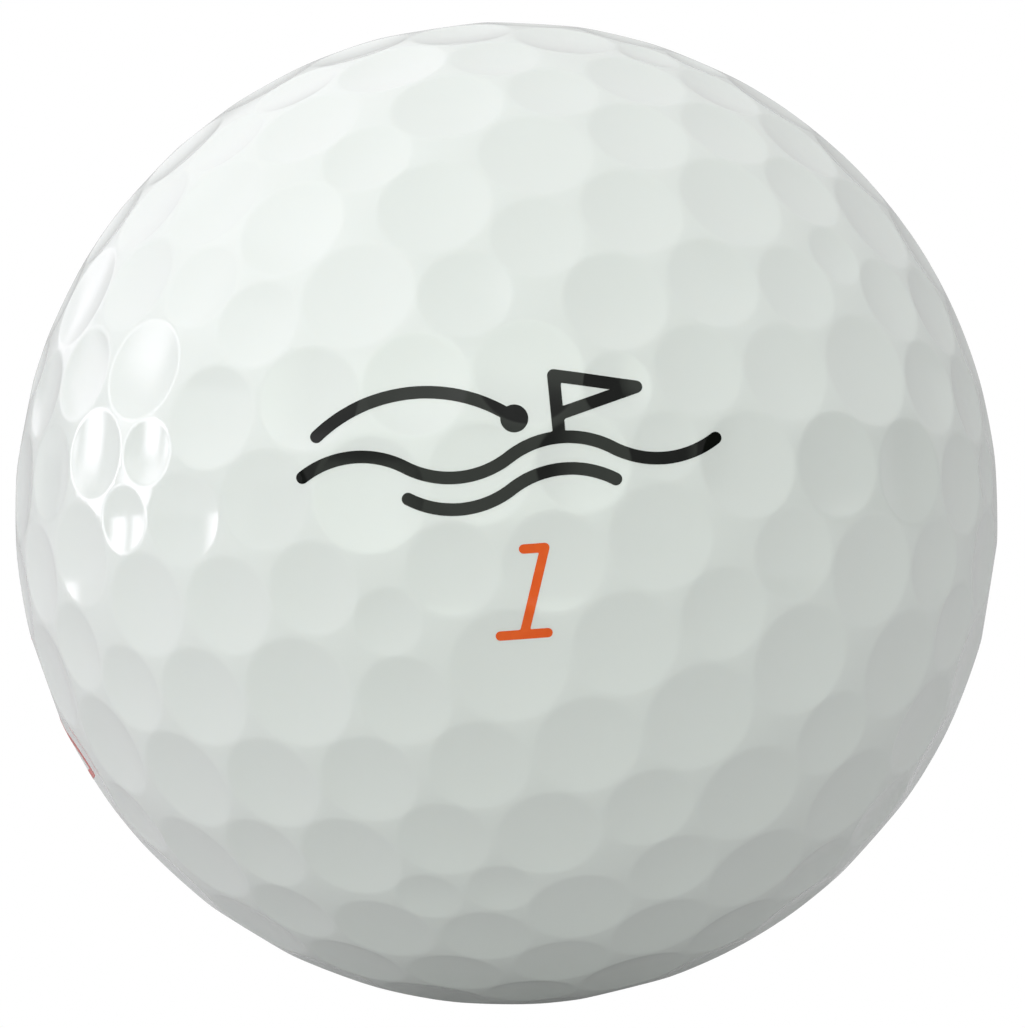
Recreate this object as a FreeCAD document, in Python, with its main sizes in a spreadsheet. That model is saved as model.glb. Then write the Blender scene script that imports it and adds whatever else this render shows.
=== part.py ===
"""A two-piece golf ball: rubber core, dimpled ionomer cover, clear coat and printed marks.

Millimetres. The origin is the centre of the ball. +Z is up, -Y is the printed front, and +Y the
printed back. The seam plane, y = 0, carries one side stamp on each side.

The finish is one film, as thick as the clear coat. The prints are let into it, so that ink and
clear coat lie flush and fill the film between them without overlapping.
"""
import FreeCAD, Part
import math
import os
from itertools import permutations, product

from FreeCAD import Placement, Rotation, Vector

# Driving dimensions: alias, value, meaning. Lengths are in millimetres and angles in degrees.
SIZES = [
    ("ball_diameter", 42.67, "over the lands, 1.680 in, the smallest size that the rules allow"),
    ("core_diameter", 39.37, "moulded rubber core, 1.550 in"),
    ("film_thickness", 0.025, "clear coat, and the ink let into it"),
    ("edge_angle", 12.5, "between the land and the bowl, at a dimple's rim"),
    ("dimple_a", 2.76, "rim diameter of the smallest dimple"),
    ("dimple_b", 3.78, "rim diameter of the second dimple size"),
    ("dimple_c", 4.02, "rim diameter of the third dimple size"),
    ("dimple_d", 4.28, "rim diameter of the fourth dimple size"),
    ("dimple_e", 4.66, "rim diameter of the largest dimple"),
    ("cutter_margin", 0.02, "how far a cutter stands out past the rim, less than half a land"),
    ("cutter_depth", 1.0, "how far a cutter starts below the land"),
    ("cutter_rise", 0.4, "how far a cutter stands above the land"),
    ("pattern_yaw", 22.9, "turn of the dimple pattern about Z"),
    ("pattern_pitch", -37.1, "then about its own Y"),
    ("pattern_roll", 31.9, "then about its own X"),
    ("edge_pair_turn", 40.9, "sites on an edge of the octahedron, beside its middle"),
    ("edge_near_turn", 11.6, "sites on an edge of the octahedron, beside its corner"),
    ("field_1_turn", 33.6, "first site in the open field of a face"),
    ("field_1_rise", 6.4, "its angle off the edge"),
    ("field_2_turn", 22.4, "second site in the open field"),
    ("field_2_rise", 5.2, "its angle off the edge"),
    ("field_3_turn", 26.2, "third site in the open field"),
    ("field_3_rise", 16.0, "its angle off the edge"),
    ("field_4_turn", 38.5, "fourth site in the open field"),
    ("field_4_rise", 17.3, "its angle off the edge"),
    ("bisector_low_rise", 8.5, "site above the middle of an edge, near the edge"),
    ("bisector_high_rise", 26.3, "site above the middle of an edge, near the face's centre"),
    ("spoke_low_swing", 18.7, "site on the spoke from corner to face centre, near the corner"),
    ("spoke_high_swing", 41.0, "site on the same spoke, near the face's centre"),
    ("print_reach", 24.0, "length of a print's prism, from the ball's middle outwards"),
    ("mark_tilt", 5.5, "turn of the maker's mark about its own axis"),
    ("mark_line", 0.50, "line width of the maker's mark"),
    ("mark_centre_x", 0.05, "maker's mark, sideways from the pole"),
    ("mark_centre_z", 2.94, "maker's mark, above the pole"),
    ("wave_chord", 4.1, "span of one arc of the mark's ground line"),
    ("wave_bulge", 0.6, "height of that arc over its span"),
    ("wave_level", -0.75, "height of the upper ground line in the mark"),
    ("wave_spacing", 1.25, "drop from the upper ground line to the lower one"),
    ("pole_top", 2.3, "height of the flagpole's top in the mark"),
    ("flag_length", 3.2, "flag's reach from its pole"),
    ("flag_height", 1.5, "flag's height at its pole"),
    ("flight_start_x", -7.5, "start of the flight line"),
    ("flight_start_y", 0.8, "height of that start"),
    ("flight_top_x", -3.6, "middle of the flight line"),
    ("flight_top_y", 2.15, "height of that middle"),
    ("spot_diameter", 1.1, "round spot at the end of the flight line"),
    ("spot_x", 0.35, "spot's place, sideways"),
    ("spot_y", 0.75, "spot's place, upwards"),
    ("number_line", 0.37, "line width of the play number"),
    ("number_tilt", 4.2, "turn of the play number about its own axis"),
    ("number_centre_x", 0.72, "foot of the play number, sideways from the pole"),
    ("number_centre_z", -4.76, "foot of the play number, above the pole"),
    ("number_height", 3.35, "between the centre lines of its foot and its top"),
    ("number_slant", 17.5, "lean of its stem"),
    ("number_foot", 1.88, "length of its foot"),
    ("number_flag", 0.84, "length of the stroke at its top"),
    ("stamp_line", 0.40, "line width of a side stamp"),
    ("stamp_turn", 188.0, "direction of the left side stamp in the seam plane, from +X"),
    ("stamp_tilt", 9.0, "lean of a side stamp from the seam"),
    ("stamp_left_back", 0.25, "middle of the left side stamp, behind the seam"),
    ("stamp_right_back", 1.3, "middle of the right side stamp, behind the seam"),
    ("stamp_length", 17.7, "of the stamp's frame, between centre lines"),
    ("stamp_height", 2.1, "of the stamp's frame, between centre lines"),
    ("stamp_inset", 1.3, "from the ends of the frame to the line along its middle"),
]

DIMPLE_SIZES = ("a", "b", "c", "d", "e")
FACE_CENTRE_RISE = math.degrees(math.atan(math.sqrt(0.5)))  # exact for an octahedron
EDGE_MIDDLE_TURN = 45.0                                     # exact for an octahedron
SAME_PLACE = 1e-4

doc = FreeCAD.newDocument("golf_ball")
sheet = doc.addObject("Spreadsheet::Sheet", "sizes")
for row, (alias, value, meaning) in enumerate(SIZES, start=1):
    sheet.set(f"A{row}", alias)
    sheet.set(f"B{row}", str(value))
    sheet.set(f"C{row}", meaning)
    sheet.setAlias(f"B{row}", alias)
doc.recompute()


def size(alias):
    """Read one driving dimension from the sheet."""
    return float(sheet.get(alias))


# ---- dimple cutters ---------------------------------------------------------------------------

def add_cutter(family, letter, offset):
    """Add one cutter, bulging towards the centre of the ball, on the +Z axis.

    The bowl is part of a sphere that meets the land at the edge angle. A short plug around its cap
    keeps it from reaching the neighbouring dimples. offset sinks the bowl below the finished one.
    """
    rim = f"sizes.dimple_{letter}"
    rim_slope = f"asin({rim} / sizes.ball_diameter)"
    bowl_slope = f"(sizes.edge_angle * 1 deg - {rim_slope})"
    bowl_radius = f"{rim} / 2 / sin({bowl_slope})"

    bowl = doc.addObject("Part::Sphere", f"{family}_bowl_{letter}")
    # The sphere lies on its side, which turns its seam and poles away from the cap that cuts.
    bowl.Placement = Placement(Vector(), Rotation(Vector(1, 0, 0), Vector(0, 0, 1)))
    bowl.setExpression("Radius", f"{bowl_radius} + {offset}")
    bowl.setExpression(
        ".Placement.Base.z",
        f"sizes.ball_diameter / 2 * cos({rim_slope}) + {bowl_radius} * cos({bowl_slope})")

    plug = doc.addObject("Part::Cylinder", f"{family}_plug_{letter}")
    plug.setExpression("Radius", f"{rim} / 2 + sizes.cutter_margin")
    plug.setExpression("Height", "sizes.cutter_depth + sizes.cutter_rise")
    plug.setExpression(".Placement.Base.z", "sizes.ball_diameter / 2 - sizes.cutter_depth")

    cutter = doc.addObject("Part::Common", f"{family}_cutter_{letter}")
    cutter.Base = bowl
    cutter.Tool = plug
    return cutter


def turn_and_rise(turn, rise):
    """Direction at an angle round Z from +X, and an angle up from the XY plane."""
    turn = math.radians(turn)
    rise = math.radians(rise)
    return Vector(math.cos(rise) * math.cos(turn), math.cos(rise) * math.sin(turn), math.sin(rise))


def along_spoke(swing):
    """Direction at an angle from +X towards the centre of the face between +X, +Y and +Z."""
    swing = math.radians(swing)
    return Vector(math.cos(swing), math.sin(swing) * math.sqrt(0.5), math.sin(swing) * math.sqrt(0.5))


def octahedral_copies(direction):
    """The different places that the 48 symmetries of an octahedron give one direction."""
    copies = []
    for coordinates in permutations(direction):
        for signs in product((1, -1), repeat=3):
            copy = Vector(*(value * sign for value, sign in zip(coordinates, signs)))
            if all(copy.distanceToPoint(other) > SAME_PLACE for other in copies):
                copies.append(copy)
    return copies


def dimple_sites():
    """Dimple size and direction of every dimple, in the octahedron's own axes."""
    field = [turn_and_rise(size(f"field_{i}_turn"), size(f"field_{i}_rise")) for i in (1, 2, 3, 4)]
    seeds = [
        ("b", turn_and_rise(0, 90)),
        ("a", turn_and_rise(EDGE_MIDDLE_TURN, FACE_CENTRE_RISE)),
        ("a", turn_and_rise(size("edge_pair_turn"), 0)),
        ("e", turn_and_rise(size("edge_near_turn"), 0)),
        ("d", field[0]),
        ("b", field[1]),
        ("d", field[2]),
        ("c", field[3]),
        ("b", turn_and_rise(EDGE_MIDDLE_TURN, size("bisector_low_rise"))),
        ("b", turn_and_rise(EDGE_MIDDLE_TURN, size("bisector_high_rise"))),
        ("e", along_spoke(size("spoke_low_swing"))),
        ("e", along_spoke(size("spoke_high_swing"))),
    ]
    return [(letter, copy) for letter, seed in seeds for copy in octahedral_copies(seed)]


def add_dimples(family, offset):
    """Add every dimple's cutter, as one compound turned to the pattern's place on the ball."""
    cutters = {letter: add_cutter(family, letter, offset) for letter in DIMPLE_SIZES}
    doc.recompute()
    tools = []
    for letter, direction in dimple_sites():
        tool = cutters[letter].Shape.copy()
        tool.Placement = Placement(Vector(), Rotation(Vector(0, 0, 1), direction))
        tools.append(tool)
    dimples = doc.addObject("Part::Feature", f"{family}_dimples")
    dimples.Shape = Part.makeCompound(tools)
    dimples.Placement = Placement(
        Vector(), Rotation(size("pattern_yaw"), size("pattern_pitch"), size("pattern_roll")))
    print(f"{family}: {len(tools)} dimples")
    return dimples


def add_cut(name, base, tool):
    """Add base with tool taken away."""
    cut = doc.addObject("Part::Cut", name)
    cut.Base = base
    cut.Tool = tool
    return cut


def add_dimpled_ball(family, depth):
    """Add a whole solid ball whose surface lies depth below the finished one, dimples included."""
    sphere = doc.addObject("Part::Sphere", f"{family}_sphere")
    sphere.setExpression("Radius", f"sizes.ball_diameter / 2 - {depth}")
    return add_cut(f"{family}_ball", sphere, add_dimples(family, depth))


# ---- prints -----------------------------------------------------------------------------------

def add_stroke(name, outline, line_alias, placement):
    """Add the prism of one printed line, from its centre line. It has round ends and corners."""
    sketch = doc.addObject("Sketcher::SketchObject", f"{name}_line")
    for segment in outline:
        sketch.addGeometry(segment)
    band = doc.addObject("Part::Offset2D", f"{name}_band")
    band.Source = sketch
    band.Mode = "Pipe"
    band.Join = "Arc"
    band.Fill = True
    band.setExpression("Value", f"sizes.{line_alias} / 2")
    return add_prism(f"{name}_prism", band, placement)


def add_straight_stroke(name, start, end, line_alias, placement):
    """Add the prism of one straight printed line with round ends."""
    half_width = size(line_alias) / 2
    along = (end - start).normalize() * half_width
    across = Vector(-along.y, along.x, 0)
    sketch = doc.addObject("Sketcher::SketchObject", f"{name}_outline")
    sketch.addGeometry(Part.LineSegment(start + across, end + across))
    sketch.addGeometry(Part.Arc(end + across, end + along, end - across))
    sketch.addGeometry(Part.LineSegment(end - across, start - across))
    sketch.addGeometry(Part.Arc(start - across, start - along, start + across))
    return add_prism(f"{name}_prism", sketch, placement)


def add_prism(name, flat, placement):
    """Add the straight prism that carries a flat figure out through the ball's surface."""
    prism = doc.addObject("Part::Extrusion", name)
    prism.Base = flat
    prism.DirMode = "Custom"
    prism.Dir = Vector(0, 0, 1)
    prism.Solid = True
    prism.setExpression("LengthFwd", "sizes.print_reach")
    prism.Placement = placement
    return prism


def add_spot(name, diameter_alias, x, y, placement):
    """Add the prism of a round printed spot."""
    spot = doc.addObject("Part::Cylinder", name)
    spot.setExpression("Radius", f"sizes.{diameter_alias} / 2")
    spot.setExpression("Height", "sizes.print_reach")
    spot.Placement = placement * Placement(Vector(x, y, 0), Rotation())
    return spot


def add_group(name, prisms):
    """Add one figure made of several prisms."""
    group = doc.addObject("Part::MultiFuse", name)
    group.Shapes = prisms
    return group


def segments(points):
    """Straight segments through a row of points."""
    return [Part.LineSegment(start, end) for start, end in zip(points, points[1:])]


def wave(start_x, level, arc_count, first_bulge):
    """A row of equal arcs that bulge up and down in turn."""
    chord = size("wave_chord")
    arcs = []
    for i in range(arc_count):
        left = start_x + i * chord
        bulge = first_bulge * (-1) ** i
        arcs.append(Part.Arc(
            Vector(left, level, 0),
            Vector(left + chord / 2, level + bulge, 0),
            Vector(left + chord, level, 0)))
    return arcs


def add_maker_mark(side, placement):
    """Add the prisms of the maker's mark: a flag on rolling ground, and a ball in flight to it."""
    name = f"mark_{side}"
    chord = size("wave_chord")
    bulge = size("wave_bulge")
    level = size("wave_level")
    upper_ground = wave(-2 * chord, level, 4, bulge)
    lower_ground = wave(-chord, level - size("wave_spacing"), 2, -bulge)
    pole_x = chord / 2
    pole_top = Vector(pole_x, size("pole_top"), 0)
    pole_foot = Vector(pole_x, level + bulge, 0)
    flag_tip = pole_top + Vector(size("flag_length"), -size("flag_height") / 2, 0)
    flag_foot = pole_top - Vector(0, size("flag_height"), 0)
    flag = segments([pole_foot, pole_top, flag_tip, flag_foot + Vector(size("mark_line") / 2, 0, 0)])
    flight = [Part.Arc(
        Vector(size("flight_start_x"), size("flight_start_y"), 0),
        Vector(size("flight_top_x"), size("flight_top_y"), 0),
        Vector(size("spot_x"), size("spot_y"), 0))]
    return add_group(name, [
        add_stroke(f"{name}_upper_ground", upper_ground, "mark_line", placement),
        add_stroke(f"{name}_lower_ground", lower_ground, "mark_line", placement),
        add_stroke(f"{name}_flag", flag, "mark_line", placement),
        add_stroke(f"{name}_flight", flight, "mark_line", placement),
        add_spot(f"{name}_spot", "spot_diameter", size("spot_x"), size("spot_y"), placement),
    ])


def add_play_number(side, placement):
    """Add the prisms of the play number, a slanted 1 with a foot."""
    name = f"number_{side}"
    half_foot = Vector(size("number_foot") / 2, 0, 0)
    height = size("number_height")
    stem_top = Vector(height * math.tan(math.radians(size("number_slant"))), height, 0)
    flag_end = stem_top - Vector(size("number_flag"), 0, 0)
    return add_group(name, [
        add_straight_stroke(f"{name}_foot", -half_foot, half_foot, "number_line", placement),
        add_stroke(f"{name}_stem", segments([Vector(), stem_top, flag_end]), "number_line", placement),
    ])


def add_side_stamp(side, placement):
    """Add the prisms of a side stamp: a long frame with a line along its middle."""
    name = f"stamp_{side}"
    right = size("stamp_length") / 2
    top = size("stamp_height") / 2
    corners = [
        Vector(-right, -top, 0),
        Vector(right, -top, 0),
        Vector(right, top, 0),
        Vector(-right, top, 0),
    ]
    ring = doc.addObject("Sketcher::SketchObject", f"{name}_ring")
    for segment in segments(corners + corners[:1]):
        ring.addGeometry(segment)
    outer = doc.addObject("Part::Offset2D", f"{name}_outer")
    outer.Source = ring
    outer.Join = "Arc"
    outer.setExpression("Value", "sizes.stamp_line / 2")
    inner = doc.addObject("Part::Offset2D", f"{name}_inner")
    inner.Source = ring
    inner.Join = "Intersection"
    inner.setExpression("Value", "-sizes.stamp_line / 2")
    frame = add_cut(
        f"{name}_frame",
        add_prism(f"{name}_outer_prism", outer, placement),
        add_prism(f"{name}_inner_prism", inner, placement))
    line_end = Vector(right - size("stamp_inset"), 0, 0)
    line = add_straight_stroke(f"{name}_middle", -line_end, line_end, "stamp_line", placement)
    return add_group(name, [frame, line])


def pole_placement(family, turn):
    """Frame of a print at a pole: x along the print, y up it, z outwards. turn is 0 or 180."""
    around = Rotation(Vector(0, 0, 1), turn)
    upright = Rotation(Vector(1, 0, 0), 90)
    tilt = Rotation(Vector(0, 0, 1), size(f"{family}_tilt"))
    base = around.multVec(Vector(size(f"{family}_centre_x"), 0, size(f"{family}_centre_z")))
    return Placement(base, around * upright * tilt)


def seam_placement(side, turn):
    """Frame of a side stamp: x along the seam, z outwards. turn is 0 on the left, 180 on the right."""
    around = Rotation(Vector(0, 0, 1), turn)
    swing = Rotation(Vector(0, 1, 0), -size("stamp_turn"))
    outwards = Rotation(Vector(0, 0, 1), Vector(0, -1, 0), Vector(1, 0, 0), "ZXY")
    tilt = Rotation(Vector(0, 0, 1), size("stamp_tilt"))
    base = Vector(0, size(f"stamp_{side}_back"), 0)
    return Placement(base, around * swing * outwards * tilt)


# ---- the ball ---------------------------------------------------------------------------------

finished_ball = add_dimpled_ball("finished", "0")
cover_ball = add_dimpled_ball("cover", "sizes.film_thickness")

core = doc.addObject("Part::Sphere", "core")
core.setExpression("Radius", "sizes.core_diameter / 2")

cover = add_cut("cover", cover_ball, core)
film = add_cut("film", finished_ball, cover_ball)

prints = {}
for side, turn in (("front", 0), ("back", 180)):
    prints[f"maker_mark_{side}"] = add_maker_mark(side, pole_placement("mark", turn))
    prints[f"play_number_{side}"] = add_play_number(side, pole_placement("number", turn))
for side, turn in (("left", 0), ("right", 180)):
    prints[f"side_stamp_{side}"] = add_side_stamp(side, seam_placement(side, turn))

sub_parts = {"core": core, "cover": cover}
for name, prism in prints.items():
    ink = doc.addObject("Part::Common", name)
    ink.Base = film
    ink.Tool = prism
    sub_parts[name] = ink

all_prints = add_group("all_prints", list(prints.values()))
sub_parts["clear_coat"] = add_cut("clear_coat", film, all_prints)

doc.recompute()

# ---- checks and output ------------------------------------------------------------------------

for item in doc.Objects:
    if "Invalid" in item.State or "Error" in item.State:
        raise RuntimeError(f"{item.Name} failed: {item.State}")

for name, item in sub_parts.items():
    item.Label = name
    if item.Shape.isNull() or not item.Shape.isValid() or not item.Shape.Solids:
        raise RuntimeError(f"{name} has no valid solid")

os.makedirs("parts", exist_ok=True)
for name, item in sub_parts.items():
    item.Shape.exportStep(os.path.join("parts", f"{name}.step"))
    solids = len(item.Shape.Solids)
    print(f"{name}: {solids} solid(s), {len(item.Shape.Faces)} faces, {item.Shape.Volume:.3f} mm3")
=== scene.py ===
"""Looks of a two-piece golf ball: the dimpled cover under its clear coat, the prints and the core.

Lengths in the constants and in the numpy work are millimetres, angles are degrees. Blender objects
are in metres. The origin is the ball's centre, +Z is up and -Y is the printed front.
"""
import math
from itertools import permutations, product

import bmesh
import bpy
import numpy as np
from mathutils import Matrix, Vector
from mathutils.geometry import delaunay_2d_cdt


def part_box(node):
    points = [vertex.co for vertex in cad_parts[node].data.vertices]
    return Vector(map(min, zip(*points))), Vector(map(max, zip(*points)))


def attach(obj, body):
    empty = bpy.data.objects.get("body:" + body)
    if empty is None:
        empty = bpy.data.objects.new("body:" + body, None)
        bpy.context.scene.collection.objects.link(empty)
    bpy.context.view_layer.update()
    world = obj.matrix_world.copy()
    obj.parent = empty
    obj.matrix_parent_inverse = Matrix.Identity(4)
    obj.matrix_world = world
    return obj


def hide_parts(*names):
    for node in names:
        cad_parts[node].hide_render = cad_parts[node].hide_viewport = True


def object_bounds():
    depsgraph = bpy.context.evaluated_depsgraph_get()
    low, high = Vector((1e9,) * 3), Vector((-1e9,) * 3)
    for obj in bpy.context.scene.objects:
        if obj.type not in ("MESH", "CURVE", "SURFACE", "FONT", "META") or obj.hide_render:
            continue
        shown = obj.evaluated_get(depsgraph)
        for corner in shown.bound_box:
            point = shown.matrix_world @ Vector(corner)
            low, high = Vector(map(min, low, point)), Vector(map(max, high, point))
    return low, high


MM = 0.001

# ---- the frame --------------------------------------------------------------------------------

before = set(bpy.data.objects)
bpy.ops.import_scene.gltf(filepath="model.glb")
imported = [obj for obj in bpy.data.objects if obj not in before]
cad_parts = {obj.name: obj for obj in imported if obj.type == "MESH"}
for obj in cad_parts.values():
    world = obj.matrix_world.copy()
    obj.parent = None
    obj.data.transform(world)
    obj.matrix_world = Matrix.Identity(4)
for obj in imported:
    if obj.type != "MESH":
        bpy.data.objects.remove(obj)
cad_low, cad_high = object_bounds()
core_low, core_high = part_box("core")
CORE_RADIUS = (core_high.z - core_low.z) / 2 / MM
BALL_RADIUS = max(v.co.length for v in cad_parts["clear_coat"].data.vertices) / MM

# ---- dimples ----------------------------------------------------------------------------------

EDGE_ANGLE = 12.5            # between the land and the bowl, at the rim
RIM_SOFTNESS = 0.028         # how far apart in depth two surfaces start to blend
RIM_DIAMETER = {"a": 2.76, "b": 3.78, "c": 4.02, "d": 4.28, "e": 4.66}
RIM_SEGMENTS = {"a": 30, "b": 38, "c": 42, "d": 44, "e": 48}
BOWL_RINGS = (0.45, 0.78)                  # shares of the rim's radius
RIM_RINGS = (-0.16, -0.09, -0.035, 0.015)  # distances from the rim
LAND_CLEARANCE = 0.14                      # land vertices keep this far from every rim
CLEARANCE_SLACK = 0.98                     # lets a rim's own ring of land vertices pass that test
LAND_SPACING = 1.2                         # least space between land vertices, in clearances
MERGE_DISTANCE = 1e-9                      # under which the triangulation takes points as one
INSIDE_SUBDIVISIONS = 5                    # of the cover's round inside
NEAR_DIMPLES = 5                           # how many dimples can shape one point
PATTERN_TURN = (22.9, -37.1, 31.9)         # yaw, pitch and roll of the octahedron on the ball
FACE_CENTRE_RISE = math.degrees(math.atan(math.sqrt(0.5)))
SAME_PLACE = 1e-4
NEAR_AXIS = 0.9              # size of Z over which a direction counts as close to the Z axis


def turn_and_rise(turn, rise):
    """Direction at an angle round Z from +X, and an angle up from the XY plane."""
    turn, rise = math.radians(turn), math.radians(rise)
    return (math.cos(rise) * math.cos(turn), math.cos(rise) * math.sin(turn), math.sin(rise))


def along_spoke(swing):
    """Direction at an angle from +X towards the centre of the face between +X, +Y and +Z."""
    swing = math.radians(swing)
    return (math.cos(swing), math.sin(swing) * math.sqrt(0.5), math.sin(swing) * math.sqrt(0.5))


DIMPLE_SEEDS = [
    ("b", turn_and_rise(0, 90)),
    ("a", turn_and_rise(45, FACE_CENTRE_RISE)),
    ("a", turn_and_rise(40.9, 0)),
    ("e", turn_and_rise(11.6, 0)),
    ("d", turn_and_rise(33.6, 6.4)),
    ("b", turn_and_rise(22.4, 5.2)),
    ("d", turn_and_rise(26.2, 16.0)),
    ("c", turn_and_rise(38.5, 17.3)),
    ("b", turn_and_rise(45, 8.5)),
    ("b", turn_and_rise(45, 26.3)),
    ("e", along_spoke(18.7)),
    ("e", along_spoke(41.0)),
]


def octahedral_copies(direction):
    """The different places that the 48 symmetries of an octahedron give one direction."""
    copies = []
    for coordinates in permutations(direction):
        for signs in product((1, -1), repeat=3):
            copy = np.array(coordinates) * signs
            if all(np.linalg.norm(copy - other) > SAME_PLACE for other in copies):
                copies.append(copy)
    return copies


def euler_turn(yaw, pitch, roll):
    """Rotation by yaw about Z, then pitch about the turned Y, then roll about the turned X."""
    about_z = Matrix.Rotation(math.radians(yaw), 3, "Z")
    about_y = Matrix.Rotation(math.radians(pitch), 3, "Y")
    about_x = Matrix.Rotation(math.radians(roll), 3, "X")
    return np.array(about_z @ about_y @ about_x)


dimple_letters = []
dimple_centres = []
for letter, seed in DIMPLE_SEEDS:
    for copy in octahedral_copies(seed):
        dimple_letters.append(letter)
        dimple_centres.append(copy)
dimple_centres = np.array(dimple_centres) @ euler_turn(*PATTERN_TURN).T
rim_radii = np.array([RIM_DIAMETER[letter] / 2 for letter in dimple_letters])


def unit(vectors):
    """The vectors at length 1."""
    return vectors / np.linalg.norm(vectors, axis=-1, keepdims=True)


def cross_axes(directions):
    """Two unit axes at right angles to each direction and to each other."""
    helper = np.where(np.abs(directions[..., 2:]) < NEAR_AXIS, (0.0, 0.0, 1.0), (1.0, 0.0, 0.0))
    across = unit(np.cross(helper, directions))
    return across, np.cross(directions, across)


def depth_below_land(directions):
    """Depth of the surface under the sphere of the lands, in each direction from the centre.

    Every dimple is part of a sphere that meets the land at the edge angle. Where two surfaces
    come within RIM_SOFTNESS of each other, they run together in a small fillet.
    """
    cosines = directions @ dimple_centres.T
    near = np.argpartition(-cosines, NEAR_DIMPLES, axis=1)[:, :NEAR_DIMPLES]
    cosine = np.take_along_axis(cosines, near, axis=1)
    rim = rim_radii[near]
    rim_slope = np.arcsin(rim / BALL_RADIUS)
    bowl_slope = math.radians(EDGE_ANGLE) - rim_slope
    bowl_radius = rim / np.sin(bowl_slope)
    bowl_distance = BALL_RADIUS * np.cos(rim_slope) + bowl_radius * np.cos(bowl_slope)
    reach = bowl_radius ** 2 - bowl_distance ** 2 * (1 - cosine ** 2)
    bowl = bowl_distance * cosine - np.sqrt(np.maximum(reach, 0))
    depths = np.where(reach > 0, BALL_RADIUS - bowl, -1.0)
    depths = -np.sort(-depths, axis=1)
    result = np.zeros(len(directions))
    for depth in depths.T:
        overlap = np.maximum(RIM_SOFTNESS - np.abs(result - depth), 0)
        result = np.maximum(result, depth) + overlap ** 2 / (4 * RIM_SOFTNESS)
    return result


def surface(directions):
    """Points of the ball's surface in these directions."""
    return directions * (BALL_RADIUS - depth_below_land(directions))[:, None]


def surface_normals(directions):
    """Unit normals of the ball's surface in these directions."""
    step = 1e-3
    across, along = cross_axes(directions)
    slope_across = surface(unit(directions + step * across)) - surface(unit(directions - step * across))
    slope_along = surface(unit(directions + step * along)) - surface(unit(directions - step * along))
    return unit(np.cross(slope_across, slope_along))


# ---- meshes -----------------------------------------------------------------------------------

def new_object(name, mesh):
    """An object that shows the mesh, linked into the scene."""
    piece = bpy.data.objects.new(name, mesh)
    bpy.context.scene.collection.objects.link(piece)
    return piece


def smooth_mesh(name, points, faces, corner_normals):
    """A mesh from points in millimetres, shaded by one given normal at each corner of each face."""
    mesh = bpy.data.meshes.new(name)
    mesh.from_pydata((points * MM).tolist(), [], faces)
    mesh.update()
    mesh.polygons.foreach_set("use_smooth", [True] * len(mesh.polygons))
    mesh.normals_split_custom_set(corner_normals)
    return mesh


def dimple_rings(index):
    """Directions of one dimple's rings, from the innermost to the one just outside the rim."""
    centre = dimple_centres[index]
    rim = rim_radii[index]
    radii = [share * rim for share in BOWL_RINGS] + [rim + offset for offset in RIM_RINGS]
    across, along = cross_axes(centre)
    count = RIM_SEGMENTS[dimple_letters[index]]
    turns = np.arange(count) * 2 * math.pi / count
    circle = np.cos(turns)[:, None] * across + np.sin(turns)[:, None] * along
    rings = []
    for radius in radii + [rim + LAND_CLEARANCE]:
        slope = math.asin(radius / BALL_RADIUS)
        rings.append(math.cos(slope) * centre + math.sin(slope) * circle)
    return rings[:-1], rings[-1]


def stereographic(directions, pole):
    """Plane coordinates of directions, projected from pole."""
    across, along = cross_axes(pole)
    scale = 1 / (1 - directions @ pole)
    return np.stack([directions @ across * scale, directions @ along * scale], axis=1)


def spread_land_points(candidates):
    """Of the candidate land directions, those that clear every rim and each other."""
    clearance = LAND_CLEARANCE / BALL_RADIUS
    angles = np.arccos(np.clip(candidates @ dimple_centres.T, -1, 1))
    rims = np.arcsin(rim_radii / BALL_RADIUS)
    candidates = candidates[(angles - rims).min(axis=1) > CLEARANCE_SLACK * clearance]
    kept = []
    taken = {}
    cell = LAND_SPACING * clearance
    for candidate in candidates:
        key = tuple(int(value // cell) for value in candidate)
        around = [taken.get((key[0] + i, key[1] + j, key[2] + k), [])
                  for i, j, k in product((-1, 0, 1), repeat=3)]
        if all(np.linalg.norm(candidate - other) > cell for group in around for other in group):
            taken.setdefault(key, []).append(candidate)
            kept.append(candidate)
    return np.array(kept)


def land_triangles(directions, rims, pole):
    """Delaunay triangles of the land between the rims. rims lists the vertex rows of each rim."""
    plane = stereographic(directions, pole)
    edges = [(int(a), int(b)) for rim in rims for a, b in zip(rim, np.roll(rim, -1))]
    result = delaunay_2d_cdt([Vector(point) for point in plane], edges, [], 0, MERGE_DISTANCE)
    faces, origins = result[2], result[3]
    owner = np.full(len(directions), -1)
    for number, rim in enumerate(rims):
        owner[rim] = number
    triangles = []
    for face in faces:
        corners = [origins[corner][0] for corner in face]
        owners = {int(owner[corner]) for corner in corners}
        if len(owners) > 1 or -1 in owners:
            triangles.append(corners)
    return triangles


def turned_outwards(points, faces):
    """The faces, each with its corners in the order that makes it face away from the centre."""
    result = []
    for face in faces:
        a, b, c = points[face[0]], points[face[1]], points[face[2]]
        outwards = np.dot(np.cross(b - a, c - a), a + b + c) > 0
        result.append(list(face) if outwards else list(face)[::-1])
    return result


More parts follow.
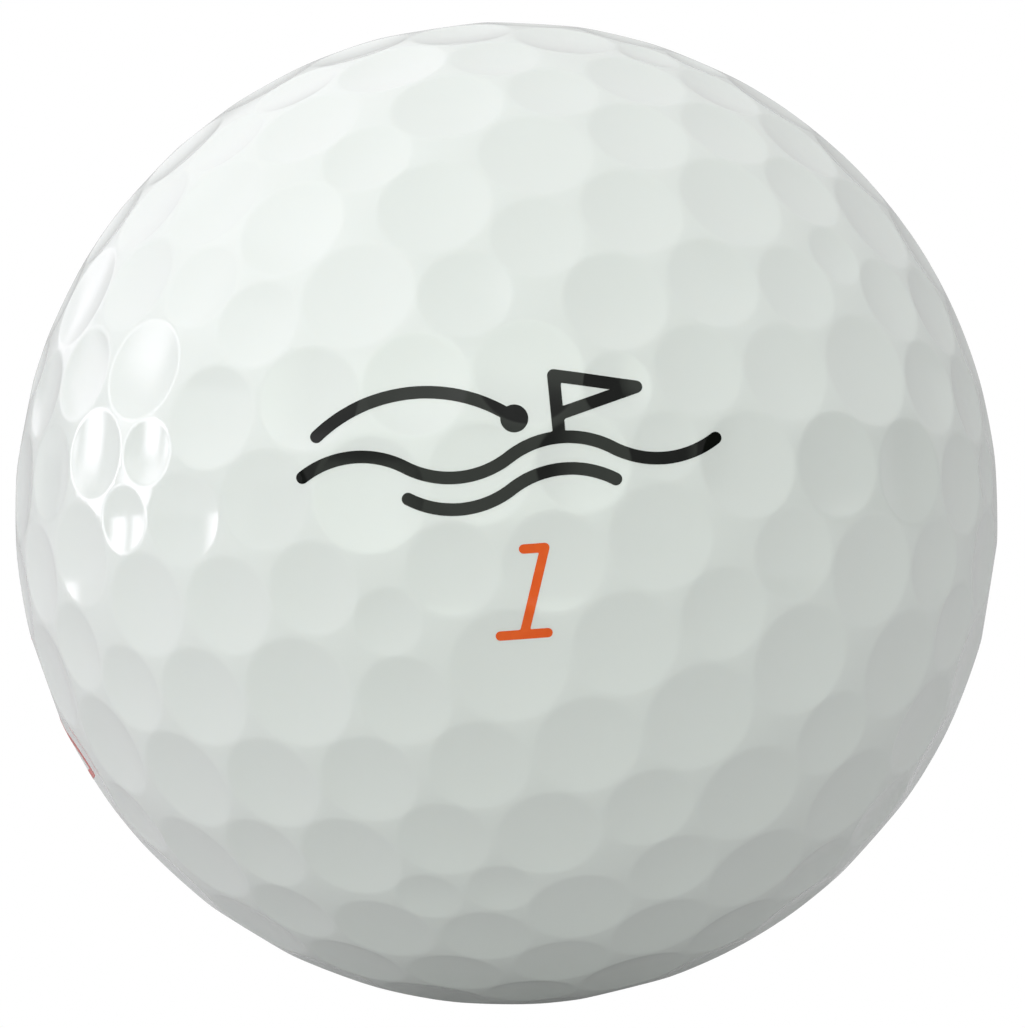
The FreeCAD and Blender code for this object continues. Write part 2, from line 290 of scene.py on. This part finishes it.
def build_cover():
    """The cover as a closed shell: the dimpled outside, and a round inside that fits the core."""
    directions = []
    faces = []
    rims = []
    land_candidates = []
    count = 0
    for index, centre in enumerate(dimple_centres):
        rings, outside = dimple_rings(index)
        directions.append(centre[None, :])
        starts = []
        middle = count
        count += 1
        for ring in rings:
            starts.append(count)
            directions.append(ring)
            count += len(ring)
        size = len(rings[0])
        for i in range(size):
            following = (i + 1) % size
            faces.append([middle, starts[0] + i, starts[0] + following])
            for inner, outer in zip(starts, starts[1:]):
                faces.append([inner + i, outer + i, outer + following, inner + following])
        rims.append(np.arange(starts[-1], starts[-1] + size))
        land_candidates.append(outside)
    land = spread_land_points(np.concatenate(land_candidates))
    directions = np.concatenate(directions + [land])
    used = np.concatenate(rims + [np.arange(count, count + len(land))])
    place = {int(vertex): row for row, vertex in enumerate(used)}
    local_rims = [np.array([place[int(vertex)] for vertex in rim]) for rim in rims]
    for triangle in land_triangles(directions[used], local_rims, dimple_centres[0]):
        faces.append([int(used[corner]) for corner in triangle])
    points = surface(directions)
    normals = surface_normals(directions)
    faces = turned_outwards(points, faces)

    inner = bpy.data.meshes.new("inner")
    ball = bmesh.new()
    bmesh.ops.create_icosphere(ball, subdivisions=INSIDE_SUBDIVISIONS, radius=1.0)
    ball.to_mesh(inner)
    ball.free()
    inner_directions = unit(np.array([vertex.co for vertex in inner.vertices]))
    first = len(points)
    for polygon in inner.polygons:
        faces.append([first + vertex for vertex in reversed(polygon.vertices)])
    bpy.data.meshes.remove(inner)
    points = np.concatenate([points, inner_directions * CORE_RADIUS])
    normals = np.concatenate([normals, -inner_directions])
    corner_normals = [tuple(normals[vertex]) for face in faces for vertex in face]
    return new_object("cover_shell", smooth_mesh("cover_shell", points, faces, corner_normals))


# ---- prints -----------------------------------------------------------------------------------

INK_LIFT = 0.012       # how far the ink stands out of the cover
INK_ROOT = 0.020       # how far it reaches down into it
INK_GRID = 0.07        # spacing of an ink mesh's points
GRID_GAP = 0.02        # share of a grid step that outline points keep from the grid's points
SEARCH_ROUNDS = 5      # of closing in on the dimpled surface under a print
MARK_TILT = 5.5
MARK_LINE = 0.50
MARK_CENTRE = (0.05, 2.94)
WAVE_CHORD = 4.1
WAVE_BULGE = 0.6
WAVE_LEVEL = -0.75
WAVE_SPACING = 1.25
POLE_TOP = 2.3
FLAG_LENGTH = 3.2
FLAG_HEIGHT = 1.5
FLIGHT_START = (-7.5, 0.8)
FLIGHT_TOP = (-3.6, 2.15)
SPOT_CENTRE = (0.35, 0.75)
SPOT_DIAMETER = 1.1
NUMBER_TILT = 4.2
NUMBER_LINE = 0.37
NUMBER_CENTRE = (0.72, -4.76)
NUMBER_HEIGHT = 3.35
NUMBER_SLANT = 17.5
NUMBER_FOOT = 1.88
NUMBER_FLAG = 0.84
STAMP_LINE = 0.40
STAMP_TURN = 188.0
STAMP_TILT = 9.0
STAMP_BACK = {"left": 0.25, "right": 1.3}   # its middle, behind the seam
STAMP_LENGTH = 17.7
STAMP_HEIGHT = 2.1
STAMP_INSET = 1.3
# Half the width and height of the flat grid that each print is cut from.
MARK_HALF_SIZE = (9.0, 3.5)
NUMBER_HALF_SIZE = (2.5, 4.0)
STAMP_HALF_SIZE = (9.5, 1.5)


def straight(start, end, line):
    """Signed distance from a straight printed line with round ends."""
    start, end = np.array(start), np.array(end)
    along = end - start

    def distance(points):
        share = np.clip((points - start) @ along / (along @ along), 0, 1)
        return np.linalg.norm(points - start - share[:, None] * along, axis=1) - line / 2
    return distance


def arc(start, middle, end, line):
    """Signed distance from a printed arc through three points, with round ends."""
    start, middle, end = (np.array(point, float) for point in (start, middle, end))
    rows = np.array([2 * (middle - start), 2 * (end - start)])
    sums = np.array([middle @ middle - start @ start, end @ end - start @ start])
    centre = np.linalg.solve(rows, sums)
    radius = np.linalg.norm(start - centre)
    axis = unit(middle - centre)
    limit = (start - centre) @ axis / radius

    def distance(points):
        away = np.linalg.norm(points - centre, axis=1)
        beside = (points - centre) @ axis >= limit * away
        to_start = np.linalg.norm(points - start, axis=1)
        to_end = np.linalg.norm(points - end, axis=1)
        return np.where(beside, np.abs(away - radius), np.minimum(to_start, to_end)) - line / 2
    return distance


def disc(centre, diameter):
    """Signed distance from a round printed spot."""
    return lambda points: np.linalg.norm(points - np.array(centre), axis=1) - diameter / 2


def polyline(points, line):
    """Signed distances from the printed lines that join these points."""
    return [straight(start, end, line) for start, end in zip(points, points[1:])]


def wave(start_x, level, arc_count, first_bulge):
    """A row of equal printed arcs that bulge up and down in turn."""
    arcs = []
    for i in range(arc_count):
        left = start_x + i * WAVE_CHORD
        top = (left + WAVE_CHORD / 2, level + first_bulge * (-1) ** i)
        arcs.append(arc((left, level), top, (left + WAVE_CHORD, level), MARK_LINE))
    return arcs


def maker_mark():
    """A flag on rolling ground, and a ball in flight to it."""
    pole_x = WAVE_CHORD / 2
    outline = [
        (pole_x, WAVE_LEVEL + WAVE_BULGE),
        (pole_x, POLE_TOP),
        (pole_x + FLAG_LENGTH, POLE_TOP - FLAG_HEIGHT / 2),
        (pole_x + MARK_LINE / 2, POLE_TOP - FLAG_HEIGHT),
    ]
    return (
        wave(-2 * WAVE_CHORD, WAVE_LEVEL, 4, WAVE_BULGE)
        + wave(-WAVE_CHORD, WAVE_LEVEL - WAVE_SPACING, 2, -WAVE_BULGE)
        + polyline(outline, MARK_LINE)
        + [arc(FLIGHT_START, FLIGHT_TOP, SPOT_CENTRE, MARK_LINE), disc(SPOT_CENTRE, SPOT_DIAMETER)]
    )


def play_number():
    """A slanted 1 with a foot."""
    top = (NUMBER_HEIGHT * math.tan(math.radians(NUMBER_SLANT)), NUMBER_HEIGHT)
    foot = [(-NUMBER_FOOT / 2, 0), (NUMBER_FOOT / 2, 0)]
    stem = [(0, 0), top, (top[0] - NUMBER_FLAG, top[1])]
    return polyline(foot, NUMBER_LINE) + polyline(stem, NUMBER_LINE)


def side_stamp():
    """A long frame with a line along its middle."""
    right = STAMP_LENGTH / 2
    top = STAMP_HEIGHT / 2
    corners = [(-right, -top), (right, -top), (right, top), (-right, top), (-right, -top)]
    line_end = right - STAMP_INSET
    return polyline(corners, STAMP_LINE) + [straight((-line_end, 0), (line_end, 0), STAMP_LINE)]


def pole_frame(turn, centre, tilt):
    """Place and axes of a print at a pole: x along it, y up it, z outwards. turn is 0 or 180."""
    around = Matrix.Rotation(math.radians(turn), 3, "Z")
    upright = Matrix.Rotation(math.radians(90), 3, "X")
    tilted = Matrix.Rotation(math.radians(tilt), 3, "Z")
    place = around @ Vector((centre[0], 0, centre[1]))
    return np.array(place), np.array(around @ upright @ tilted)


def seam_frame(side, turn):
    """Place and axes of a side stamp: x along the seam, z outwards. turn is 0 on the left."""
    around = Matrix.Rotation(math.radians(turn), 3, "Z")
    swing = Matrix.Rotation(math.radians(-STAMP_TURN), 3, "Y")
    outwards = Matrix(((0, 0, 1), (0, -1, 0), (1, 0, 0)))
    tilted = Matrix.Rotation(math.radians(STAMP_TILT), 3, "Z")
    place = (0, STAMP_BACK[side], 0)
    return np.array(place), np.array(around @ swing @ outwards @ tilted)


def printed_triangles(shapes, half_width, half_height):
    """Flat triangles that fill the printed figure, from a grid cut along its outline."""
    across = np.arange(-half_width, half_width + INK_GRID, INK_GRID)
    up = np.arange(-half_height, half_height + INK_GRID, INK_GRID)
    grid = np.stack(np.meshgrid(across, up, indexing="ij"), axis=-1)
    flat = grid.reshape(-1, 2)
    distances = np.min([shape(flat) for shape in shapes], axis=0)
    columns = len(up)
    points = []
    rows = {}

    def corner(index):
        if index not in rows:
            rows[index] = len(points)
            points.append(flat[index])
        return rows[index]

    def crossing(inside, outside):
        key = (min(inside, outside), max(inside, outside))
        if key not in rows:
            share = distances[inside] / (distances[inside] - distances[outside])
            share = np.clip(share, GRID_GAP, 1 - GRID_GAP)
            rows[key] = len(points)
            points.append(flat[inside] + share * (flat[outside] - flat[inside]))
        return rows[key]

    triangles = []
    for i, j in product(range(len(across) - 1), range(columns - 1)):
        low_left = i * columns + j
        low_right = low_left + columns
        for cell in ((low_left, low_right, low_right + 1), (low_left, low_right + 1, low_left + 1)):
            outline = []
            for a, b in zip(cell, cell[1:] + cell[:1]):
                if distances[a] < 0:
                    outline.append(corner(a))
                if (distances[a] < 0) != (distances[b] < 0):
                    outline.append(crossing(a, b) if distances[a] < 0 else crossing(b, a))
            for second, third in zip(outline[1:], outline[2:]):
                triangles.append((outline[0], second, third))
    return np.array(points), triangles


def directions_under(flat, place, axes):
    """Directions from the ball's centre to where the print's flat points meet its surface."""
    starts = place + flat @ axes[:, :2].T
    outwards = axes[:, 2]
    along = starts @ outwards
    across_squared = (starts ** 2).sum(axis=1) - along ** 2
    radii = np.full(len(flat), BALL_RADIUS)
    for _ in range(SEARCH_ROUNDS):
        reach = np.sqrt(radii ** 2 - across_squared) - along
        directions = unit(starts + reach[:, None] * outwards)
        radii = BALL_RADIUS - depth_below_land(directions)
    return directions


def build_print(name, shapes, half_size, frame_of_print):
    """One print as a thin closed layer that follows the dimples."""
    flat, triangles = printed_triangles(shapes, *half_size)
    directions = directions_under(flat, *frame_of_print)
    normals = surface_normals(directions)
    top = surface(directions) + INK_LIFT * normals
    root = surface(directions) - INK_ROOT * normals
    count = len(flat)
    faces = list(triangles) + [tuple(count + corner for corner in reversed(face)) for face in triangles]
    corner_normals = [normals[corner] for face in triangles for corner in face]
    corner_normals += [-normals[corner] for face in triangles for corner in reversed(face)]
    edges = {(a, b) for face in triangles for a, b in zip(face, face[1:] + face[:1])}
    for a, b in sorted(edges):
        if (b, a) not in edges:
            faces.append((b, a, count + a, count + b))
            outwards = unit(np.cross(top[b] - top[a], normals[a]))
            corner_normals += [outwards] * 4
    points = np.concatenate([top, root])
    return new_object(name, smooth_mesh(name, points, faces, [tuple(n) for n in corner_normals]))


# ---- materials --------------------------------------------------------------------------------

COAT_ROUGHNESS = (0.05, 0.09)
COAT_IOR = 1.5
INK_COAT_IOR = 1.36
PEEL_SIZE = 0.9          # of the coat's orange peel
PEEL_HEIGHT = 0.0006
COVER_WHITE = (0.812, 0.842, 0.825)
COVER_CREAM = (0.802, 0.83, 0.812)
DARK_INK = ((0.003, 0.004, 0.003), (0.006, 0.007, 0.006))    # where the ink is full and thin
ORANGE_INK = ((0.84, 0.105, 0.011), (0.88, 0.13, 0.016))
RED_INK = ((0.62, 0.03, 0.015), (0.68, 0.05, 0.03))
CORE_BLUE = (0.05, 0.13, 0.16)
CORE_SPECKLE = (0.08, 0.19, 0.22)
NOISE_SPREAD = (0.3, 0.7)     # between which a noise texture's values mostly lie


def new_material(name):
    """A material with its Principled shader, ready to take nodes."""
    material = bpy.data.materials.new(name)
    material.use_nodes = True
    return material, material.node_tree.nodes["Principled BSDF"]


def add_node(shader, kind, **inputs):
    """A node in the shader's tree, with some of its inputs set; underscores stand for spaces."""
    node = shader.id_data.nodes.new(kind)
    for name, value in inputs.items():
        node.inputs[name.replace("_", " ")].default_value = value
    return node


def noise(shader, feature, detail, low, high):
    """A value between low and high that wanders over the object; feature is its size."""
    coordinates = add_node(shader, "ShaderNodeTexCoord")
    texture = add_node(shader, "ShaderNodeTexNoise", Scale=1 / (feature * MM), Detail=detail)
    spread = add_node(shader, "ShaderNodeMapRange", To_Min=low, To_Max=high)
    spread.inputs["From Min"].default_value = NOISE_SPREAD[0]
    spread.inputs["From Max"].default_value = NOISE_SPREAD[1]
    links = shader.id_data.links
    links.new(coordinates.outputs["Object"], texture.inputs["Vector"])
    links.new(texture.outputs["Fac"], spread.inputs["Value"])
    return spread.outputs["Result"]


def mottle(shader, first, second, feature, detail):
    """Colours the shader with two colours that run into each other in patches of that size."""
    mix = add_node(shader, "ShaderNodeMix")
    mix.data_type = "RGBA"
    mixed_colours = [socket for socket in mix.inputs if socket.type == "RGBA"]
    mixed_colours[0].default_value = (*first, 1)
    mixed_colours[1].default_value = (*second, 1)
    result = next(socket for socket in mix.outputs if socket.type == "RGBA")
    links = shader.id_data.links
    links.new(noise(shader, feature, detail, 0, 1), mix.inputs["Factor"])
    links.new(result, shader.inputs["Base Color"])


def roughen(shader, socket, feature, low, high):
    """Lets a roughness wander between low and high in patches of that size."""
    shader.id_data.links.new(noise(shader, feature, 3, low, high), shader.inputs[socket])


def ripple(shader, feature, height, socket="Normal"):
    """Ripples of that height, in millimetres, in the surface or in its coat."""
    bump = add_node(shader, "ShaderNodeBump", Distance=height * MM)
    links = shader.id_data.links
    links.new(noise(shader, feature, 2, 0, 1), bump.inputs["Height"])
    links.new(bump.outputs["Normal"], shader.inputs[socket])


def add_coat(shader, refraction):
    """The ball's glossy clear coat, with its faint orange peel."""
    shader.inputs["Coat Weight"].default_value = 1.0
    shader.inputs["Coat IOR"].default_value = refraction
    shader.inputs["Specular IOR Level"].default_value = 0.0
    roughen(shader, "Coat Roughness", feature=3.0, low=COAT_ROUGHNESS[0], high=COAT_ROUGHNESS[1])
    ripple(shader, PEEL_SIZE, PEEL_HEIGHT, "Coat Normal")


def cover_material():
    material, shader = new_material("cover_white")
    mottle(shader, COVER_WHITE, COVER_CREAM, feature=7.0, detail=3)
    roughen(shader, "Roughness", feature=1.2, low=0.45, high=0.6)
    ripple(shader, feature=0.35, height=0.0004)
    shader.inputs["Subsurface Weight"].default_value = 0.12
    shader.inputs["Subsurface Radius"].default_value = (1.0, 0.9, 0.8)
    shader.inputs["Subsurface Scale"].default_value = 0.8 * MM
    add_coat(shader, COAT_IOR)
    return material


def ink_material(name, full, thin):
    """Pad-printed ink under the clear coat, a little thinner in patches."""
    material, shader = new_material(name)
    mottle(shader, full, thin, feature=0.5, detail=5)
    roughen(shader, "Roughness", feature=0.3, low=0.35, high=0.55)
    ripple(shader, feature=0.12, height=0.0008)
    add_coat(shader, INK_COAT_IOR)
    return material


def core_material():
    """Moulded rubber with its ground speckles."""
    material, shader = new_material("core_rubber")
    mottle(shader, CORE_BLUE, CORE_SPECKLE, feature=0.8, detail=8)
    roughen(shader, "Roughness", feature=0.4, low=0.5, high=0.75)
    ripple(shader, feature=0.25, height=0.01)
    return material


# ---- pieces -----------------------------------------------------------------------------------

def finish_piece(piece, material, slot, *nodes):
    """Gives a new piece its material and its place in the frame."""
    piece.data.materials.append(material)
    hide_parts(*nodes)
    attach(piece, "root")


finish_piece(build_cover(), cover_material(), "cover_ionomer", "cover", "clear_coat")

dark_ink = ink_material("dark_ink", *DARK_INK)
orange_ink = ink_material("orange_ink", *ORANGE_INK)
red_ink = ink_material("red_ink", *RED_INK)
for side, turn in (("front", 0), ("back", 180)):
    mark_frame = pole_frame(turn, MARK_CENTRE, MARK_TILT)
    mark = build_print(f"maker_mark_{side}_ink", maker_mark(), MARK_HALF_SIZE, mark_frame)
    finish_piece(mark, dark_ink, "dark_ink", f"maker_mark_{side}")
    number_frame = pole_frame(turn, NUMBER_CENTRE, NUMBER_TILT)
    number = build_print(f"play_number_{side}_ink", play_number(), NUMBER_HALF_SIZE, number_frame)
    finish_piece(number, orange_ink, "orange_ink", f"play_number_{side}")
for side, turn in (("left", 0), ("right", 180)):
    stamp = build_print(f"side_stamp_{side}_ink", side_stamp(), STAMP_HALF_SIZE, seam_frame(side, turn))
    finish_piece(stamp, red_ink, "red_ink", f"side_stamp_{side}")

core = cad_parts["core"]
core.data.materials.clear()
core.data.materials.append(core_material())


# ---- studio -----------------------------------------------------------------------------------

CAMERA_PLACE = (0.26, -208.2, -0.03)
CAMERA_LENS = 167.07
CAMERA_SENSOR = 36
LIGHT_DISTANCE = 600
LIGHT_UNIT = 4.0         # watts per square metre that show as a brightness of 1
FRONT_COLOUR = (0.88, 1.0, 0.855)
SIDE_COLOUR = (0.97, 0.91, 1.0)
# Name, azimuths and elevations that it covers, seen from the ball, softness, colour, brightness.
# Azimuth 0 is towards the camera and 90 is to its right. Softness is the share of a panel over
# which each of its edges fades out.
SOFTBOXES = [
    ("front_softbox", (-47, 27), (-8, 40), 0.2, FRONT_COLOUR, 0.94),
    ("left_softbox", (-160, -30), (15, 80), 0.2, SIDE_COLOUR, 0.19),
    ("upper_left_softbox", (-105, -30), (28, 62), 0.2, SIDE_COLOUR, 0.38),
    ("window_left_pane", (-114, -99.5), (-7, 14), 0.36, SIDE_COLOUR, 3.1),
    ("window_right_pane", (-100.5, -84), (-7, 14), 0.36, SIDE_COLOUR, 4.4),
    ("window_top_pane", (-110, -87), (8, 26), 0.4, SIDE_COLOUR, 2.0),
    ("left_back_softbox", (-150, -114), (10, 20), 0.2, SIDE_COLOUR, 0.47),
]
# Name, azimuths, elevations and brightness.
CARDS = [
    ("left_card", (-90, -46), (-8, 27), 0.16),
    ("left_edge_card", (-94, -42), (-8, 38), 0.97),
    ("right_card", (52, 118), (-12, 17), 0.0),
    ("right_grey_card", (20, 66), (-10, 56), 0.52),
    ("right_far_card", (60, 125), (12, 48), 0.8),
    ("left_back_card", (-139, -122), (1, 13), 0.2),
]
CARD_SOFTNESS = 0.2
CARD_DISTANCE = 700
SKY_HORIZON = 0.6
SKY_TOP = 1.05
SKY_RISE = (0.05, 0.7)  # sines of the elevations where the dome starts and stops brightening
FLOOR_SHADE = 0.45
FLOOR_GLOW = 0.115
FLOOR_SIZE = 6000


def direction_of(azimuth, elevation):
    """Direction from the ball at an azimuth and an elevation."""
    azimuth, elevation = math.radians(azimuth), math.radians(elevation)
    level = math.cos(elevation)
    return Vector((math.sin(azimuth) * level, -math.cos(azimuth) * level, math.sin(elevation)))


def place_panel(panel, azimuths, elevations, distance):
    """Puts a panel round the ball, facing it and out of the camera's sight, and gives its size."""
    towards = direction_of(sum(azimuths) / 2, sum(elevations) / 2)
    panel.location = towards * distance * MM
    panel.rotation_euler = towards.to_track_quat("Z", "Y").to_euler()
    panel.visible_camera = False
    return [
        2 * distance * MM * math.tan(math.radians(angles[1] - angles[0]) / 2)
        for angles in (azimuths, elevations)
    ]


def soft_edged(tree, place, softness):
    """A value that is 1 inside a panel and fades to 0 at its edges; place runs from 0 to 1 over it."""
    nodes, links = tree.nodes, tree.links
    split = nodes.new("ShaderNodeSeparateXYZ")
    links.new(place, split.inputs["Vector"])
    both = nodes.new("ShaderNodeMath")
    both.operation = "MULTIPLY"
    for number, axis in enumerate("XY"):
        inside = nodes.new("ShaderNodeMath")
        inside.operation = "PINGPONG"
        inside.inputs[1].default_value = 0.5
        fade = nodes.new("ShaderNodeMapRange")
        fade.interpolation_type = "SMOOTHSTEP"
        fade.inputs["From Max"].default_value = softness
        links.new(split.outputs[axis], inside.inputs[0])
        links.new(inside.outputs["Value"], fade.inputs["Value"])
        links.new(fade.outputs["Result"], both.inputs[number])
    return both.outputs["Value"]


def add_softbox(name, azimuths, elevations, softness, colour, brightness):
    """A soft-edged area light that covers these angles, as seen from the ball."""
    light = bpy.data.lights.new(name, "AREA")
    light.color = colour
    light.shape = "RECTANGLE"
    softbox = bpy.data.objects.new(name, light)
    bpy.context.scene.collection.objects.link(softbox)
    light.size, light.size_y = place_panel(softbox, azimuths, elevations, LIGHT_DISTANCE)
    light.energy = brightness * LIGHT_UNIT * light.size * light.size_y
    light.use_nodes = True
    nodes, links = light.node_tree.nodes, light.node_tree.links
    place = nodes.new("ShaderNodeNewGeometry").outputs["Parametric"]
    mask = soft_edged(light.node_tree, place, softness)
    links.new(mask, nodes["Emission"].inputs["Strength"])


def add_card(name, azimuths, elevations, brightness):
    """A dim card with faded edges that keeps the light of the dome off one side."""
    mesh = bpy.data.meshes.new(name)
    card = new_object(name, mesh)
    width, height = place_panel(card, azimuths, elevations, CARD_DISTANCE)
    x, y = width / 2, height / 2
    mesh.from_pydata([(-x, -y, 0), (x, -y, 0), (x, y, 0), (-x, y, 0)], [], [(0, 1, 2, 3)])
    material = bpy.data.materials.new(name)
    material.use_nodes = True
    nodes, links = material.node_tree.nodes, material.node_tree.links
    nodes.clear()
    place = nodes.new("ShaderNodeTexCoord").outputs["Generated"]
    clear = nodes.new("ShaderNodeBsdfTransparent")
    glow = nodes.new("ShaderNodeEmission")
    glow.inputs["Strength"].default_value = brightness
    mix = nodes.new("ShaderNodeMixShader")
    output = nodes.new("ShaderNodeOutputMaterial")
    links.new(soft_edged(material.node_tree, place, CARD_SOFTNESS), mix.inputs["Fac"])
    links.new(clear.outputs["BSDF"], mix.inputs[1])
    links.new(glow.outputs["Emission"], mix.inputs[2])
    links.new(mix.outputs["Shader"], output.inputs["Surface"])
    mesh.materials.append(material)


def add_world():
    """A pale dome that is brighter above, behind a plain white backdrop."""
    world = bpy.data.worlds.new("studio")
    world.use_nodes = True
    bpy.context.scene.world = world
    nodes, links = world.node_tree.nodes, world.node_tree.links
    nodes.clear()
    coordinates = nodes.new("ShaderNodeTexCoord")
    split = nodes.new("ShaderNodeSeparateXYZ")
    rise = nodes.new("ShaderNodeMapRange")
    rise.interpolation_type = "SMOOTHSTEP"
    rise.inputs["From Min"].default_value = SKY_RISE[0]
    rise.inputs["From Max"].default_value = SKY_RISE[1]
    rise.inputs["To Min"].default_value = SKY_HORIZON
    rise.inputs["To Max"].default_value = SKY_TOP
    dome = nodes.new("ShaderNodeBackground")
    backdrop = nodes.new("ShaderNodeBackground")
    backdrop.inputs["Color"].default_value = (1, 1, 1, 1)
    path = nodes.new("ShaderNodeLightPath")
    mix = nodes.new("ShaderNodeMixShader")
    output = nodes.new("ShaderNodeOutputWorld")
    links.new(coordinates.outputs["Generated"], split.inputs["Vector"])
    links.new(split.outputs["Z"], rise.inputs["Value"])
    links.new(rise.outputs["Result"], dome.inputs["Strength"])
    links.new(path.outputs["Is Camera Ray"], mix.inputs["Fac"])
    links.new(dome.outputs["Background"], mix.inputs[1])
    links.new(backdrop.outputs["Background"], mix.inputs[2])
    links.new(mix.outputs["Shader"], output.inputs["Surface"])


def add_floor():
    """A plain pale light table that the camera sees as white as the backdrop."""
    half = FLOOR_SIZE / 2 * MM
    low = cad_low.z
    corners = [(-half, -half, low), (half, -half, low), (half, half, low), (-half, half, low)]
    mesh = bpy.data.meshes.new("floor")
    mesh.from_pydata(corners, [], [(0, 1, 2, 3)])
    floor = new_object("floor", mesh)
    material, shader = new_material("floor")
    shader.inputs["Base Color"].default_value = (FLOOR_SHADE, FLOOR_SHADE, FLOOR_SHADE, 1)
    shader.inputs["Specular IOR Level"].default_value = 0
    shader.inputs["Emission Color"].default_value = (1, 1, 1, 1)
    shader.inputs["Emission Strength"].default_value = FLOOR_GLOW
    white = add_node(shader, "ShaderNodeEmission")
    path = add_node(shader, "ShaderNodeLightPath")
    mix = add_node(shader, "ShaderNodeMixShader")
    links = material.node_tree.links
    links.new(path.outputs["Is Camera Ray"], mix.inputs["Fac"])
    links.new(shader.outputs["BSDF"], mix.inputs[1])
    links.new(white.outputs["Emission"], mix.inputs[2])
    links.new(mix.outputs["Shader"], material.node_tree.nodes["Material Output"].inputs["Surface"])
    mesh.materials.append(material)


def add_camera():
    """The camera, level and straight in front of the ball."""
    data = bpy.data.cameras.new("camera")
    data.lens = CAMERA_LENS
    data.sensor_width = CAMERA_SENSOR
    data.clip_start = 1 * MM
    data.clip_end = 2 * FLOOR_SIZE * MM
    camera = bpy.data.objects.new("camera", data)
    bpy.context.scene.collection.objects.link(camera)
    camera.location = Vector(CAMERA_PLACE) * MM
    camera.rotation_euler = (math.radians(90), 0, 0)
    bpy.context.scene.camera = camera


for softbox in SOFTBOXES:
    add_softbox(*softbox)
for card in CARDS:
    add_card(*card)
add_world()
add_floor()
add_camera()
bpy.context.scene.view_settings.view_transform = "Standard"

bpy.context.view_layer.update()
